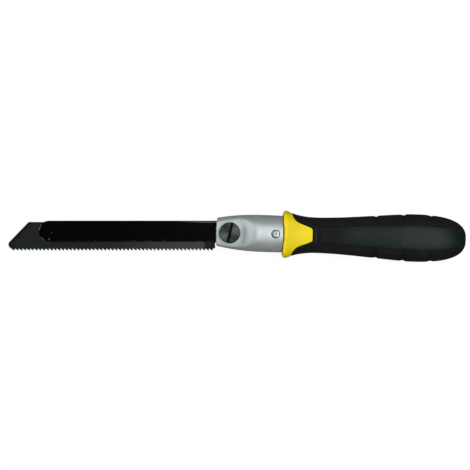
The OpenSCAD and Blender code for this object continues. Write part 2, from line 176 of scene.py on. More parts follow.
def soften(piece, angle=35):
    """Smooth shading, with edges sharper than the angle left crisp."""
    piece.data.shade_smooth()
    piece.data.set_sharp_from_angle(angle=math.radians(angle))


def skinned(name, points, faces, line, angle=35):
    """A piece from points in metres and faces, with every face turned to look outwards."""
    mesh = bpy.data.meshes.new(name)
    mesh.from_pydata([tuple(point) for point in points], [], faces)
    skin = bmesh.new()
    skin.from_mesh(mesh)
    bmesh.ops.recalc_face_normals(skin, faces=skin.faces)
    skin.to_mesh(mesh)
    skin.free()
    piece = bpy.data.objects.new(name, mesh)
    piece.location = line.translation
    bpy.context.scene.collection.objects.link(piece)
    soften(piece, angle)
    return piece


def lofted(name, rings, line, ends="capped"):
    """One skin through rings of points in millimetres; a lone point closes an end, and joined ends make a tube."""
    points, faces, rows = [], [], []
    turn = np.array(line.to_3x3()).T
    for row in map(np.atleast_2d, rings):
        rows.append(range(len(points), len(points) + len(row)))
        points.extend(row @ turn * mm)
    for low, high in list(zip(rows, rows[1:])) + ([(rows[-1], rows[0])] if ends == "joined" else []):
        around = max(len(low), len(high))
        for i in range(around):
            j = (i + 1) % around
            corners = [low[i % len(low)], low[j % len(low)], high[j % len(high)], high[i % len(high)]]
            faces.append(list(dict.fromkeys(corners)))
    if ends == "capped":
        faces += [list(row) for row in (rows[0], rows[-1]) if len(row) > 2]
    return skinned(name, points, faces, line)


def mark(piece, name, line, measure):
    """Stores a number at each point of a piece, worked out from its place along its line, for its finish to read."""
    points = np.zeros(len(piece.data.vertices) * 3)
    piece.data.vertices.foreach_get("co", points)
    along = points.reshape(-1, 3) @ np.array(line.to_3x3()) / mm
    values = np.asarray(measure(*along.T), np.float32)
    piece.data.attributes.new(name, "FLOAT", "POINT").data.foreach_set("value", values)


class Wire:
    """A socket in a finish. Sums on it add Math nodes, and node() adds a node of any other kind."""

    def __init__(self, tree, socket=None):
        self.tree, self.socket = tree, socket

    def node(self, kind, settings=None, inputs=None, output=0):
        """A new node of a kind, with its settings made first and then the values or wires of its inputs."""
        made = self.tree.nodes.new(kind)
        for key, value in (settings or {}).items():
            setattr(made, key, value)
        for key, value in (inputs or {}).items():
            if isinstance(value, Wire):
                self.tree.links.new(value.socket, made.inputs[key])
            else:
                made.inputs[key].default_value = value
        return Wire(self.tree, made.outputs[output])

    def math(self, operation, *values):
        return self.node("ShaderNodeMath", {"operation": operation}, dict(enumerate(values)))

    def between(self, low, high):
        """0 below low, 1 above high, and smooth between them."""
        return self.node(
            "ShaderNodeMapRange",
            {"interpolation_type": "SMOOTHSTEP"},
            {"Value": self, "From Min": low, "From Max": high})

    def tint(self, low, high):
        """The colour low where this is 0, and high where it is 1."""
        return self.node("ShaderNodeMix", {"data_type": "RGBA"}, {0: self, 6: low, 7: high}, 2)

    def most(self, other):
        return self.math("MAXIMUM", self, other)

    def noise(self, place, scale, detail=3, roughness=0.55):
        sockets = {"Vector": place, "Scale": scale, "Detail": detail, "Roughness": roughness}
        return self.node("ShaderNodeTexNoise", None, sockets)

    def place(self, stretch=(1, 1, 1)):
        """Where a point lies on its piece, in metres, stretched along the piece's own axes."""
        here = self.node("ShaderNodeTexCoord", None, None, "Object")
        return self.node("ShaderNodeVectorMath", {"operation": "MULTIPLY"}, {0: here, 1: stretch})

    def along(self, axis):
        """How far a point lies along one axis of its piece, in millimetres."""
        return self.node("ShaderNodeSeparateXYZ", None, {0: self.place((1 / mm, 1 / mm, 1 / mm))}, axis)

    def marked(self, name):
        return self.node("ShaderNodeAttribute", {"attribute_name": name}, None, "Fac")

    def bump(self, height, distance):
        return self.node("ShaderNodeBump", None, {"Height": height, "Distance": distance}, "Normal")

    def __add__(self, other):
        return self.math("ADD", self, other)

    def __sub__(self, other):
        return self.math("SUBTRACT", self, other)

    def __rsub__(self, other):
        return self.math("SUBTRACT", other, self)

    def __mul__(self, other):
        return self.math("MULTIPLY", self, other)

    __radd__, __rmul__ = __add__, __mul__


def finish(name, levels):
    """A new finish with its even levels set, and a wire to draw the rest of it from."""
    material = bpy.data.materials.new(name)
    material.use_nodes = True
    for socket, level in levels.items():
        material.node_tree.nodes["Principled BSDF"].inputs[socket].default_value = level
    return material, Wire(material.node_tree)


def dress(piece, material, body, slot, *nodes, **wires):
    """Gives a piece its finish; where it stands for CAD nodes, hides them and puts the piece under its body. The slot
    is not used.
    """
    shader = material.node_tree.nodes["Principled BSDF"]
    for socket, wire in wires.items():
        material.node_tree.links.new(wire.socket, shader.inputs[socket.replace("_", " ")])
    piece.data.materials.clear()
    piece.data.materials.append(material)
    if nodes:
        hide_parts(*nodes)
        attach(piece, body)


core_angle = circle_of(192)
core_edge, core_face = shield_edge(core_angle), collar_face(core_angle)


def core_skin(u):
    """The surface of the collar behind its lip and of the shield."""
    return oval(handle_r(u), side_flat(u), core_angle)


def shaft_skin(u, angle):
    """The shaft that the grip is moulded over."""
    return flattened(np.maximum(handle_r(u) - grip_wall, 1), np.maximum(side_flat(u) - grip_side_wall, 1), angle)


tunnel_mid = slot_ring(tunnel_end, core_angle).mean(axis=0)
core_rings = [tunnel_mid, slot_ring(tunnel_end, core_angle), slot_ring(tunnel_mouth, core_angle)]
spigot_u = socket_u + spigot_play
for u, radius in (
        (spigot_u, spigot_r - spigot_chamfer), (spigot_u + spigot_chamfer, spigot_r), (core_face, spigot_r)):
    core_rings.append(ring(u, radius, core_angle))
for turn in np.radians(np.arange(0, 91, 7.5)):
    radius = collar_front_r + (lip_r - collar_front_r) * math.sin(turn)
    u = core_face + (lip_u - core_face) * (1 - math.cos(turn))
    core_rings.append(ring(u, oval(radius, min(rest_z, radius), core_angle), core_angle))
for s in np.linspace(0, 1, 30)[1:]:
    u = lip_u + (core_edge - seam_run - lip_u) * s
    core_rings.append(ring(u, core_skin(u), core_angle))
for back, sink in seam_roll:
    core_rings.append(ring(core_edge - back, core_skin(core_edge) - sink, core_angle))
for s in np.linspace(0, 1, 24):
    u = core_edge + (shaft_end - shaft_round - core_edge) * s
    core_rings.append(ring(u, shaft_skin(u, core_angle) - mould_gap, core_angle))
core_rings.append(np.array((shaft_end, 0, 0)))
handle_core = lofted("handle_core_moulding", core_rings, handle_line)
# Painted shade: the yellow turns dark olive in a narrow band along the shield's edge beside the grip, and in the
# groove where the collar meets the head.
mark(handle_core, "seam_painted_shade", handle_line, lambda u, v, w: np.clip(
    1 - (np.interp(np.arctan2(v, w) % (2 * np.pi), core_angle, core_edge) - u) / seam_shade_w, 0, 1))
mark(handle_core, "crevice_painted_shade", handle_line, lambda u, v, w: (
    (1 - smooth(u - collar_face(np.arctan2(v, w)), crevice_near, crevice_far))
    * (1 - smooth(np.hypot(v, w), collar_front_r, crevice_r))))

nylon, wire = finish("yellow_nylon", {"Specular IOR Level": 0.2})
nylon_cloud = wire.noise(wire.place(), 110, 4)
nylon_grain = wire.noise(wire.place(), 2600, 2)
nylon_body = nylon_cloud.between(0.3, 0.7).tint(srgb(*nylon_yellow), srgb(*nylon_shade))
nylon_shadow = (wire.marked("seam_painted_shade").between(0.72, 1.0) * 0.9).most(0.8 * wire.marked("crevice_painted_shade"))
dress(
    handle_core, nylon, "handle", "yellow_plastic", "handle_core",
    Base_Color=nylon_shadow.tint(nylon_body, srgb(*nylon_seam_shade)),
    Roughness=0.46 + 0.14 * nylon_cloud,
    Normal=wire.bump(nylon_grain, 0.00004))

# Grip: soft black rubber moulded over the shaft up to the shield's edge, with a pocket for each side panel, a fine
# line beside the panels and three finger notches along its top and its bottom edge.
panel_front, panel_rear, panel_gap = collar_u + 24.8, butt_u - 5.5, 0.1
panel_border, panel_proud, panel_t, panel_round, panel_bulge = 0.8, 0.3, 1.85, 2, 2.75
flat_share = math.sqrt(1 - side_share**2)
panel_end_half = 1.4
notch_first, notch_step, notch_depth, notch_ahead, notch_behind = collar_u + 62.7, 18.2, 0.62, 3.2, 1.4
notch_fade = 0.9, 3.2
line_past, line_w, line_depth, line_start, line_stop = 1.6, 0.28, 0.3, (84, 98), (150, 157)
channel_near, channel_far, channel_depth = 0.15, 0.9, 0.4
bead_ahead, bead_w, bead_height, bead_fade = 2.1, 0.95, 0.34, (3.4, 6.6)
pocket_points, edge_gap, seam_gap = 11, 0.02, 0.07
rub_even, rub_and_shade_by_height, rub_edge = 0.35, 1.6, (0.5, 1)
bead_highlight, bead_highlight_loss = 3, 0.15
rubber_black, rubber_worn_and_lit = (10, 10, 11), (38, 38, 42)


def panel_edge(u):
    """Half the height of a side panel, whose front corners and rear end are round."""
    u = np.asarray(u, float)
    corner = panel_round - np.sqrt(panel_round**2 - np.clip(panel_front + panel_round - u, 0, panel_round) ** 2)
    tail = np.clip((u - panel_rear) / panel_bulge, 0, 1)
    rear_half = flat_share * handle_r(panel_rear) - panel_border
    return np.where(
        u > panel_rear,
        rear_half * np.sqrt(1 - tail**2),
        flat_share * handle_r(u) - panel_border - corner)


panel_end = panel_rear + panel_bulge * math.sqrt(1 - (panel_end_half / panel_edge(panel_rear)) ** 2)


def grip_skin(u, angle):
    """The grip's surface without its relief, a little lower than the panels."""
    return oval(handle_r(u), side_flat(u) - panel_proud, angle)


def grip_angles(u, half):
    """Angles round the grip at one distance, set so that whole rows of points follow the panels' edges."""
    table = np.linspace(0, np.pi / 2, 1441)
    inside = np.linspace(0, 1, pocket_points) * (half + panel_gap)
    outside = half + panel_gap + np.array((edge_gap, 0.1, 0.25, 0.45, 0.7, 1, 1.25, 1.5, 1.75, 2.1, 2.6, 3.3))
    edge = np.interp(np.concatenate((inside, outside)), grip_skin(u, table) * np.sin(table), table)
    quarter = np.concatenate((edge, np.linspace(edge[-1], np.pi / 2, 19)[1:]))
    turn = np.concatenate((quarter, np.pi - quarter[-2::-1]))
    return np.concatenate((turn, np.pi + turn[1:-1]))


def grip_relief(u, angle, half):
    """How far the grip's surface stands out, with its notches, its line and the bead in front of the panel."""
    height = grip_skin(u, angle) * np.abs(np.sin(angle))
    past = height - half
    relief = np.zeros(np.broadcast(u, angle).shape)
    for i in range(3):
        along = u - notch_first - i * notch_step
        share = np.where(along < 0, along / notch_ahead, along / notch_behind)
        dip = np.cos(np.pi / 2 * np.clip(share, -1, 1)) ** 2
        relief -= notch_depth * dip * smooth(past, *notch_fade)
    line = np.exp(-(((past - line_past) / line_w) ** 2)) * smooth(u, *line_start) * (1 - smooth(u, *line_stop))
    channel = (1 - smooth(past, channel_near, channel_far)) * np.where((u > panel_front - 1) & (past > 0), 1, 0)
    bead = np.exp(-(((u - shield_tip - bead_ahead) / bead_w) ** 2)) * (1 - smooth(height, *bead_fade))
    return relief - line_depth * line - channel_depth * channel + bead_height * bead


front_half = float(panel_edge(panel_front))
grip_front = grip_angles(panel_front, front_half)
grip_edge = shield_edge(grip_front) + seam_gap
grip_rings = [np.array((shaft_end + edge_gap, 0, 0))]
for s in np.linspace(1, 0, 24):
    u = grip_edge + (shaft_end - shaft_round - grip_edge) * s
    grip_rings.append(ring(u, shaft_skin(u, grip_front), grip_front))
for back, sink in seam_roll[::-1]:
    grip_rings.append(ring(grip_edge + back, grip_skin(grip_edge, grip_front) - sink, grip_front))
for s in np.linspace(0, 1, 22):
    u = grip_edge + seam_run + (panel_front - panel_gap - edge_gap - grip_edge - seam_run) * s
    skin = grip_skin(u, grip_front) + grip_relief(u, grip_front, front_half)
    grip_rings.append(ring(u, skin, grip_front))
corner_turn = np.radians((0, 10, 20, 30, 40, 50, 60, 75))
panel_rows = np.concatenate((
    panel_front + panel_round * (1 - np.cos(corner_turn)),
    np.linspace(panel_front + panel_round, swell_u, 134),
    swell_u + (butt_u - swell_u) * np.sin(np.radians(np.arange(4, 90, 1.5))) ** (2 / 2.6)))
panel_rows = np.concatenate((
    panel_rows[panel_rows < panel_rear],
    panel_rear + (panel_end - panel_rear) * np.sin(np.radians(np.linspace(0, 90, 14)))))
half_turn = len(grip_front) // 2
in_pocket = np.isin(
    np.arange(len(grip_front)) % half_turn,
    (*range(pocket_points), *range(half_turn - pocket_points + 1, half_turn)))
for u in panel_rows:
    half = float(panel_edge(u))
    angle = grip_angles(u, half)
    skin = grip_skin(u, angle) + grip_relief(u, angle, half)
    floor = (side_flat(u) - panel_t - panel_gap) / np.maximum(np.abs(np.cos(angle)), 1e-9)
    shift = -panel_gap if u == panel_front else panel_gap if u == panel_rows[-1] else 0
    grip_rings.append(ring(u + shift, np.where(in_pocket, floor, skin), angle))
rear_angle = grip_angles(panel_end, panel_end_half)
for turn in np.radians(np.linspace(0, 90, 14))[:-1]:
    u = panel_end + panel_gap + edge_gap + (butt_u - panel_end - panel_gap - edge_gap) * math.sin(turn)
    grip_rings.append(ring(u, grip_skin(u, rear_angle), rear_angle))
grip_rings.append(np.array((butt_u, 0, 0)))
grip = lofted("grip_overmould", grip_rings, handle_line)


def grip_wear_shade_and_highlight(u, v, w):
    """How much a point of the grip is lightened: worn more on the swell's edges than in the neck, with painted shade
    that keeps the notches, the line and the channel dark, and a painted highlight on the bead.
    """
    angle = np.arctan2(v, w)
    depth = np.hypot(v, w) - grip_skin(np.clip(u, lip_u, butt_u), angle)
    edge = smooth(np.abs(v) / handle_r(np.clip(u, lip_u, butt_u - 0.1)), *rub_edge)
    return np.clip(rub_even + rub_and_shade_by_height * depth, 0, 1) * edge + np.clip(bead_highlight * depth - bead_highlight_loss, 0, 1)


mark(grip, "rubbed_shaded_and_lit", handle_line, grip_wear_shade_and_highlight)
rubber, wire = finish("grip_rubber", {"Specular IOR Level": 0.18})
rubber_cloud = wire.noise(wire.place(), 140, 5, 0.65)
rubber_grain = wire.noise(wire.place(), 3200, 2)
# The grip's lighter colour mixes wear on the swell's edges with painted shade in the notches, the line and the
# channel, and a painted highlight on the bead in front of the panel.
rubber_wear_and_light = rubber_cloud.between(0.35, 0.8) * 0.3 + wire.marked("rubbed_shaded_and_lit") * 0.5
dress(
    grip, rubber, "handle", "grip_rubber", "grip",
    Base_Color=rubber_wear_and_light.tint(srgb(*rubber_black), srgb(*rubber_worn_and_lit)),
    Roughness=0.7 + 0.16 * rubber_cloud - 0.2 * wire.marked("rubbed_shaded_and_lit"),
    Normal=wire.bump(rubber_grain + 0.6 * rubber_cloud, 0.00006))

# Side panels: a slate panel of harder plastic lies in the grip's pocket on each side, a little proud of the rubber,
# with a crowned, finely textured face and a rounded edge. The saw lies on the far one.
panel_slate, panel_pale, panel_front_shade = (11, 20, 21), (21, 35, 35), (11, 13, 14)
panel_edge_round, panel_insets = 0.45, np.array((0, 0.04, 0.12, 0.25, 0.45, 0.75, 1.2))
panel_shade = 76, 96


def panel_rings(side):
    """Rings along one panel: its crowned face, rounded off at the edge, and its flat underside."""
    for u in panel_rows:
        half = float(panel_edge(u))
        near = half - panel_insets[panel_insets < half]
        v = np.concatenate((near, np.linspace(near[-1], -near[-1], 17)[1:-1], -near[::-1]))
        if len(near) < len(panel_insets):
            v = half * np.linspace(1, -1, 29)
        gap = np.minimum(half - np.abs(v), min(u - panel_front, panel_end - u))
        drop = panel_edge_round - np.sqrt(
            panel_edge_round**2 - np.clip(panel_edge_round - gap, 0, panel_edge_round) ** 2)
        turn = np.linspace(0, np.pi / 2, 721)
        skin = oval(handle_r(u), side_flat(u), turn)
        top = np.interp(np.abs(v), skin * np.sin(turn), skin * np.cos(turn)) - drop
        under = np.full(len(v), side_flat(u) - panel_t)
        heights = np.concatenate((top, under))
        yield np.column_stack((np.full(len(heights), u), np.concatenate((v, v[::-1])), side * heights))


slate, wire = finish("slate_panel", {"Specular IOR Level": 0.13})
slate_cloud = wire.noise(wire.place(), 230, 5, 0.7)
slate_grain = wire.noise(wire.place(), 2400, 2)
slate_fleck = wire.noise(wire.place(), 850, 3, 0.65)
slate_mottle = 0.55 * slate_cloud + 0.45 * slate_fleck
slate_body = slate_mottle.between(0.36, 0.66).tint(srgb(*panel_slate), srgb(*panel_pale))
# Painted shade: each panel's colour darkens towards its front end, next to the shield.
for name, node, side in (("panel_near", "side_panel_front", 1), ("panel_far", "side_panel_back", -1)):
    dress(
        lofted(name, list(panel_rings(side)), handle_line), slate, "handle", "panel_plastic", node,
        Base_Color=wire.along(0).between(*panel_shade).tint(srgb(*panel_front_shade), slate_body),
        Roughness=0.36 + 0.14 * slate_cloud + 0.2 * (1 - wire.along(0).between(*panel_shade)),
        Normal=wire.bump(slate_grain + 0.5 * slate_cloud + 0.4 * slate_fleck, 0.00005))

# Head casting: a zinc-aluminium die casting, blasted and lacquered silver. It has a slot for the support, a slightly
# crowned cheek on each side that ends in a soft ramp, a bore with a faced seat for the clamp screw, and a socket for
# the handle's spigot.
head_front_r, head_belly_r, head_belly_u, head_rear_r, belly_power = 9.35, 12.35, 32, 12.2, 2.3
mouth_lift, lift_loss, mouth_chamfer = 0.43, 0.33, 0.3
cheek_z, cheek_rise, cheek_crown = 7.5, 0.055, 60
cheek_crisp, body_crisp, crisp_fade, cheek_rounds = 40, 14, (22, 30), 18
jaw_square, jaw_fade = 0.1, (2, 18)
ramp_foot, ramp_head, ramp_rise, ramp_bow = 14, 31.5, 3.6, 0.012
front_round, front_bow, rear_round, rear_gap, socket_chamfer = 0.8, 0.4, 0.5, 0.25, 0.3
screw_seat_r, screw_seat_z = 7.15, 8.1
pad_pocket_r, pad_pocket_low, pad_pocket_high, thread_r, bore_top = 5.05, 0.4, 4.45, 4.05, 11
fixing_u, fixing_head_r, fixing_head_t, fixing_sink = head_len - 4.7, 2.85, 1.6, 0.3
fixing_hole_r, fixing_hole_low, sink_r, sink_rim_r, sink_top = 1.7, 9.5, 2.9, 3.2, 14
alloy_silver, alloy_dull = (204, 211, 212), (188, 196, 197)
head_angle = circle_of(288)


def head_r(u):
    """Radius of the round head, which is least at its mouth and most at its belly."""
    u = np.asarray(u, float)
    ahead = np.clip((head_belly_u - u) / head_belly_u, 0, None) ** belly_power
    behind = np.clip((u - head_belly_u) / (head_len - head_belly_u), 0, None) ** 2
    return head_belly_r - (head_belly_r - head_front_r) * ahead - (head_belly_r - head_rear_r) * behind


def lift(u):
    """How far the head's skin stands above the handle's axis, which is most at its mouth."""
    rise = np.broadcast_to(mouth_lift - lift_loss * u / head_len, head_angle.shape)
    return np.column_stack((np.zeros_like(rise), rise, np.zeros_like(rise)))


def head_skin(u, angle):
    """The head's surface: round, squarer at its lower front, and cut back to the cheeks and their ramps."""
    crisp = cheek_crisp - (cheek_crisp - body_crisp) * smooth(u, *crisp_fade)
    jaw = jaw_square * (1 - smooth(u, *jaw_fade)) * np.where(np.sin(angle) < 0, np.sin(2 * angle) ** 2, 0)
    full = head_r(u) * (1 + jaw)
    radius = flattened(full, cheek_z, angle, crisp)
    for _ in range(cheek_rounds):
        across = (radius * np.sin(angle)) ** 2
        climb = np.clip((u + across * ramp_bow - ramp_foot) / (ramp_head - ramp_foot), 0, 1)
        ramp = ramp_rise * climb**3 * (10 - 15 * climb + 6 * climb**2)
        cheek = cheek_z + cheek_rise * u - across / cheek_crown + ramp
        radius = (radius + flattened(full, cheek, angle, crisp)) / 2
    return radius


def turned(name, profile, line, count=96):
    """A piece turned on a lathe about its own Z axis, from pairs of radius and height."""
    angle = circle_of(count)
    rings = []
    for radius, z in profile:
        row = np.column_stack((radius * np.cos(angle), radius * np.sin(angle), np.full(count, z)))
        rings.append(row if radius > 0 else np.array((0, 0, z)))
    return lofted(name, rings, line)


def settle(piece):
    """Makes a piece's modifiers part of its mesh."""
    bpy.context.view_layer.update()
    ready = piece.evaluated_get(bpy.context.evaluated_depsgraph_get())
    mesh = bpy.data.meshes.new_from_object(ready)
    piece.modifiers.clear()
    piece.data = mesh


def carve(piece, tool, operation="DIFFERENCE"):
    """Takes a tool's shape out of a piece, or keeps only what the two share."""
    cut = piece.modifiers.new("cut", "BOOLEAN")
    cut.object, cut.operation, cut.solver = tool, operation, "EXACT"
    settle(piece)
    soften(piece)
    bpy.data.objects.remove(tool)


def ease(piece, width, angle=40, segments=2):
    """Rounds the edges of a piece that are sharper than the angle, and keeps its flat faces flat in the light."""
    piece.data.attributes.remove(piece.data.attributes["sharp_edge"])
    edge = piece.modifiers.new("edge", "BEVEL")
    edge.width, edge.segments, edge.limit_method = width * mm, segments, "ANGLE"
    edge.angle_limit = math.radians(angle)
    piece.modifiers.new("flats", "WEIGHTED_NORMAL")
    settle(piece)


head_end = collar_face(head_angle) - rear_gap
front_edge = head_skin(front_round, head_angle) - front_round


def front_face(row):
    """Moves a ring onto the head's bulged front face."""
    row = row.copy()
    reach = np.hypot(row[:, 1], row[:, 2]) / front_edge
    row[:, 0] = -front_bow * (1 - np.clip(reach, 0, 1) ** 2)
    return row


mouth = front_face(slot_ring(0, head_angle, mouth_chamfer))
head_rings = [slot_ring(mouth_chamfer, head_angle), mouth]
for s in np.linspace(0, 1, 9)[1:]:
    rim = ring(0, front_edge, head_angle)
    head_rings.append(front_face(mouth + (rim - mouth) * s) + s * lift(0))
for turn in np.radians(np.arange(15, 91, 15)):
    head_rings.append(ring(
        front_round * (1 - math.cos(turn)), front_edge + front_round * math.sin(turn), head_angle) + lift(0))
for s in np.linspace(0, 1, 108)[1:]:
    u = front_round + (head_end - rear_round - front_round) * s
    head_rings.append(ring(u, head_skin(u, head_angle), head_angle) + lift(u))
rear_edge = head_skin(head_end, head_angle)
for turn in np.radians(np.arange(22.5, 91, 22.5)):
    head_rings.append(ring(
        head_end - rear_round * (1 - math.sin(turn)), rear_edge - rear_round * (1 - math.cos(turn)), head_angle)
        + lift(head_end))
socket_r = spigot_r + spigot_play
for u, radius in (
        (head_end, socket_r + socket_chamfer), (head_end - socket_chamfer, socket_r), (socket_u, socket_r)):
    head_rings.append(ring(u, radius, head_angle))
head_rings += [slot_ring(x, head_angle) for x in (socket_u, 16, 8)]
head = lofted("head_casting_lacquered", head_rings, handle_line, "joined")

clamp_axis = Matrix.Translation(clamp_point)
carve(head, turned("bore", (
    (0, pad_pocket_low), (pad_pocket_r, pad_pocket_low), (pad_pocket_r, pad_pocket_high),
    (thread_r, pad_pocket_high), (thread_r, screw_seat_z), (screw_seat_r, screw_seat_z),
    (screw_seat_r, bore_top), (0, bore_top)), clamp_axis, 128))
fixing_top = float(head_r(fixing_u))
fixing_seat = fixing_top - fixing_sink - fixing_head_t
fixing_axis = handle_line @ Matrix.Translation((fixing_u * mm, 0, 0))
carve(head, turned("sink", (
    (0, fixing_hole_low), (fixing_hole_r, fixing_hole_low), (fixing_hole_r, fixing_seat),
    (sink_r, fixing_seat), (sink_r, fixing_top - 0.4), (sink_rim_r, fixing_top - 0.1),
    (sink_rim_r, sink_top), (0, sink_top)), fixing_axis))

alloy, wire = finish("cast_alloy", {"Metallic": 0.75, "Specular IOR Level": 0.5})
alloy_cloud = wire.noise(wire.place(), 130, 4)
alloy_grain = wire.noise(wire.place(), 2800, 3, 0.7)
alloy_lines = wire.noise(wire.place((1, 0.08, 0.08)), 2200, 3, 0.6)
alloy_tone = 0.4 * alloy_cloud + 0.3 * alloy_grain + 0.3 * alloy_lines
dress(
    head, alloy, "handle", "cast_alloy", "head_casting",
    Base_Color=alloy_tone.between(0.35, 0.65).tint(srgb(*alloy_dull), srgb(*alloy_silver)),
    Roughness=0.52 + 0.14 * alloy_grain,
    Normal=wire.bump(alloy_grain + 0.5 * alloy_lines, 0.00004))

# Fixing screw: a small zinc-plated pan-head screw with a cross recess, sunk into the head's rear so that it holds the
# handle's spigot.
fixing_low, fixing_tip_r, fixing_cone, fixing_shank_r = -6.5, 0.7, -5.2, 1.45
fixing_rim_z, crown_wide, crown_high, crown_flat_r = 0.75, 1.3, 0.85, 1.2
recess_lean, recess_r, recess_shape = -4, 1.7, ((0.75, 1.0, 0.34), (fixing_head_t, 1.75, 0.48), (2.2, 2.2, 0.6))
zinc_dull, zinc_bright, zinc_recess = (142, 150, 145), (180, 187, 182), (150, 158, 150)
fixing_profile = [(0, fixing_low), (fixing_tip_r, fixing_low), (fixing_shank_r, fixing_cone), (fixing_shank_r, 0)]
fixing_profile += [(fixing_head_r, 0), (fixing_head_r, fixing_rim_z)]
for turn in np.radians(np.arange(15, 76, 15)):
    fixing_profile.append((
        fixing_head_r - crown_wide * (1 - math.cos(turn)), fixing_rim_z + crown_high * math.sin(turn)))
fixing_profile.append((crown_flat_r, fixing_head_t))
fixing_place = fixing_axis @ Matrix.Translation((0, 0, fixing_seat * mm))
fixing = turned("fixing_screw_zinc", fixing_profile, fixing_place, 64)
for lean in (recess_lean, recess_lean + 90):
    arm = []
    for z, long, wide in recess_shape:
        arm.append(np.array(((long, wide, z), (-long, wide, z), (-long, -wide, z), (long, -wide, z))))
    carve(fixing, lofted("recess", arm, fixing_place @ Matrix.Rotation(math.radians(lean), 4, "Z")))
ease(fixing, width=0.08, angle=30)
mark(fixing, "sunk", fixing_place, lambda x, y, z: (
    smooth(fixing_head_t - 0.1 - z, 0, 0.5) * (np.hypot(x, y) < recess_r)))
zinc, wire = finish("zinc_plating", {"Metallic": 0.95, "Specular IOR Level": 0.5})
zinc_cloud = wire.noise(wire.place(), 900, 4)
zinc_face = zinc_cloud.tint(srgb(*zinc_dull), srgb(*zinc_bright))
dress(
    fixing, zinc, "handle", "zinc_steel", "fixing_screw",
    Base_Color=(0.92 * wire.marked("sunk")).tint(zinc_face, srgb(*zinc_recess)),
    Roughness=0.34 + 0.16 * zinc_cloud)

# Blade: a spring-steel strip with a black oxide skin, a slanted end ground to an edge, a tang in the clamp, and teeth
# that are set to alternate sides and raked towards the handle.
blade_reach, blade_t, blade_back, blade_low_y = 138.78, 1.0, 7.2, -11.8
tooth_pitch, tooth_depth, tooth_steep, tooth_set, tooth_fleam = 2.54, 1.4, 0.16, 0.2, 0.22
tip_slant, tip_r, tip_rise, point_turn = math.radians(46), 2.7, 0.4, math.radians(235)
ground_w, ground_depth, ground_end = 0.9, 0.6, 0.7
heel_x, tang_len, tang_top, tang_low, tang_hole_r, tang_round = -1.0, 21, 6.1, -6.6, 2.15, 0.8
oxide_blue, oxide_grey, oxide_heel_lit = (21, 29, 34), (30, 35, 35), (62, 62, 60)
oxide_burn, oxide_head_shadow = (24, 25, 16), (13, 11, 8)
heel_light_fade, burn_fade, streak_fade, head_shadow_fade = (-80, -18), (1.2, 3.4), (-137, -133), (-9.5, -7)

tooth_root = blade_low_y + tooth_depth
point_x, point_y = tip_r - blade_reach, tooth_root + tip_rise - tip_r * math.sin(point_turn)
slant_x, slant_y = point_x - tip_r * math.sin(tip_slant), point_y + tip_r * math.cos(tip_slant)
slant_top = slant_x + (blade_back - slant_y) / math.tan(tip_slant)
first_tooth = point_x + tip_r * math.cos(point_turn) + tip_rise / math.tan(1.5 * math.pi - point_turn)
tooth_count = math.floor((heel_x - first_tooth) / tooth_pitch)
rim = [(slant_top, blade_back, 1)]
strip = [(heel_x, blade_back), (slant_top + ground_w / math.sin(tip_slant), blade_back)]
for turn in np.linspace(math.pi / 2 + tip_slant, point_turn, 17):
    share = min((point_turn - turn) / ground_end, 1)
    rim.append((point_x + tip_r * math.cos(turn), point_y + tip_r * math.sin(turn), share))
    inner_r = tip_r - ground_w * share
    strip.append((point_x + inner_r * math.cos(turn), point_y + inner_r * math.sin(turn)))
rim.pop()
first_root = len(strip)
strip += [(first_tooth + i * tooth_pitch, tooth_root) for i in range(tooth_count + 1)]
strip += [(heel_x, tooth_root), (heel_x, tang_low), (tang_len - tang_round, tang_low)]
strip += [(tang_len, tang_low + tang_round), (tang_len, tang_top - tang_round)]
strip += [(tang_len - tang_round, tang_top), (heel_x, tang_top)]
hole_x, hole_y = tang_len - (tang_top - tang_low) / 2, (tang_top + tang_low) / 2
hole = [
    (hole_x + tang_hole_r * math.cos(turn), hole_y - tang_hole_r * math.sin(turn)) for turn in circle_of(40)]
tips = [
    (first_tooth + (i + 1 - tooth_steep) * tooth_pitch, blade_low_y, (i % 2 * 2 - 1)) for i in range(tooth_count)]
flat = [Vector((x, y, 0)) for x, y in strip], [Vector((x, y, 0)) for x, y in hole]
blade_points, first_rim = [], len(strip) + len(hole) + len(tips)
count = first_rim + len(rim)
for side in (1, -1):
    blade_points += [(x, y, side * blade_t / 2) for x, y in strip + hole]
    blade_points += [
        (x + side * way * tooth_fleam, y, side * blade_t / 2 + way * tooth_set) for x, y, way in tips]
    blade_points += [(x, y, side * (blade_t - ground_depth * share) / 2) for x, y, share in rim]
outline = [0, 1, *range(first_rim, count), *range(len(rim) + 1, len(strip))]
blade_faces = [list(face) for face in tessellate_polygon(flat)]
for i in range(len(rim)):
    blade_faces.append([i + 1, first_rim + i, *([first_rim + i + 1] if i + 1 < len(rim) else []), i + 2])
for i in range(tooth_count):
    tip = len(strip) + len(hole) + i
    blade_faces.append([first_root + i, tip, first_root + i + 1])
    outline.insert(outline.index(first_root + i) + 1, tip)
blade_faces += [[point + count for point in face[::-1]] for face in blade_faces]
for loop in (outline, list(range(len(strip), len(strip) + len(hole)))):
    blade_faces += [[a, b, b + count, a + count] for a, b in zip(loop, loop[1:] + loop[:1])]
blade = skinned("blade_oxide", np.array(blade_points) * mm, blade_faces, blade_line, angle=20)

oxide, wire = finish("black_oxide_steel", {"Metallic": 0.45, "Specular IOR Level": 0.12})
oxide_along, oxide_up = wire.along(0), wire.along(1)
oxide_cloud = wire.noise(wire.place((1, 2, 2)), 120, 5, 0.65)
oxide_brush = wire.noise(wire.place((0.03, 1, 1)), 4200, 2)
oxide_mottle = wire.noise(wire.place(), 420, 4, 0.7).between(0.34, 0.66)
oxide_dark = oxide_mottle.tint(srgb(*oxide_blue), srgb(*oxide_grey))
